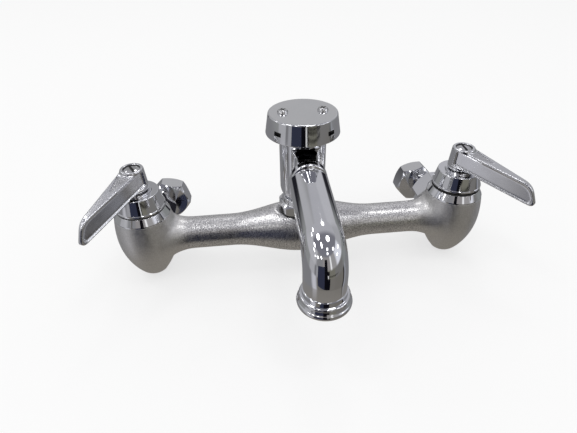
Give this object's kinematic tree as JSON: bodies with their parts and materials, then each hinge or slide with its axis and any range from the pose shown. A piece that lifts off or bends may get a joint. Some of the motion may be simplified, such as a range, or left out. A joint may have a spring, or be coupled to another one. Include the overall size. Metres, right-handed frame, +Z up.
{
  "type": "heavy-duty faucet",
  "caption": "Wall-mounted service faucet: cast yoke with lever valves, swinging spout with pail hook and vacuum breaker cap, eccentric inlet arms.",
  "frame": {"origin": "midway between the two inlets, on the wall plane that the inlet arms' rear faces lie in", "axes": "+X along the yoke towards the cold valve, +Y into the wall, +Z up; the yoke axis is level with the origin"},
  "size_m": [0.26, 0.148, 0.1107],
  "materials": {
    "rough_chrome": "rough chrome plate on sand-cast brass",
    "polished_chrome": "polished chrome plate on brass",
    "screw_steel": "plated steel",
    "brass": "machined",
    "black_rubber": "matte",
    "ceramic": "lapped ceramic",
    "white_plastic": "moulded"
  },
  "bodies": {
    "yoke": {"yoke_body": "rough_chrome", "spout_nut": "polished_chrome", "hot_union_nut": "polished_chrome", "cold_union_nut": "polished_chrome", "hot_union_washer": "black_rubber", "cold_union_washer": "black_rubber", "hot_inlet_arm": "polished_chrome", "cold_inlet_arm": "polished_chrome", "hot_cartridge": "polished_chrome", "cold_cartridge": "polished_chrome", "hot_seat_seal": "black_rubber", "cold_seat_seal": "black_rubber", "hot_fixed_disc": "ceramic", "cold_fixed_disc": "ceramic", "hot_bonnet_ring": "black_rubber", "cold_bonnet_ring": "black_rubber", "hot_bonnet": "polished_chrome", "cold_bonnet": "polished_chrome"},
    "hot_valve": {"hot_stem": "screw_steel", "hot_stem_oring": "black_rubber", "hot_turning_disc": "ceramic", "hot_lever": "polished_chrome", "hot_lever_screw": "screw_steel"},
    "cold_valve": {"cold_stem": "screw_steel", "cold_stem_oring": "black_rubber", "cold_turning_disc": "ceramic", "cold_lever": "polished_chrome", "cold_lever_screw": "screw_steel"},
    "spout": {"spout_body": "polished_chrome", "spout_orings": "black_rubber", "spout_split_ring": "brass", "outlet_collar": "polished_chrome", "outlet_washer": "black_rubber", "flow_straightener": "white_plastic", "breaker_gasket": "black_rubber", "breaker_seat": "brass", "breaker_cap": "polished_chrome", "cap_screws": "screw_steel"},
    "float": {"breaker_float": "white_plastic", "float_seal": "black_rubber"}
  },
  "joints": [
    {"name": "hot_lever_turn", "type": "hinge", "parent": "yoke", "child": "hot_valve", "pos_m": [-0.1016, -0.051, 0.04], "axis": [0, 0, 1], "range_deg": [-61, 29]},
    {"name": "cold_lever_turn", "type": "hinge", "parent": "yoke", "child": "cold_valve", "pos_m": [0.1016, -0.051, 0.04], "axis": [0, 0, -1], "range_deg": [-50, 40]},
    {"name": "spout_swing", "type": "hinge", "parent": "yoke", "child": "spout", "pos_m": [0, -0.051, 0.03], "axis": [0, 0, 1], "range_deg": [-60, 60]},
    {"name": "float_lift", "type": "slide", "parent": "spout", "child": "float", "axis": [0, 0, 1], "range_m": [0, 0.0029]}
  ]
}
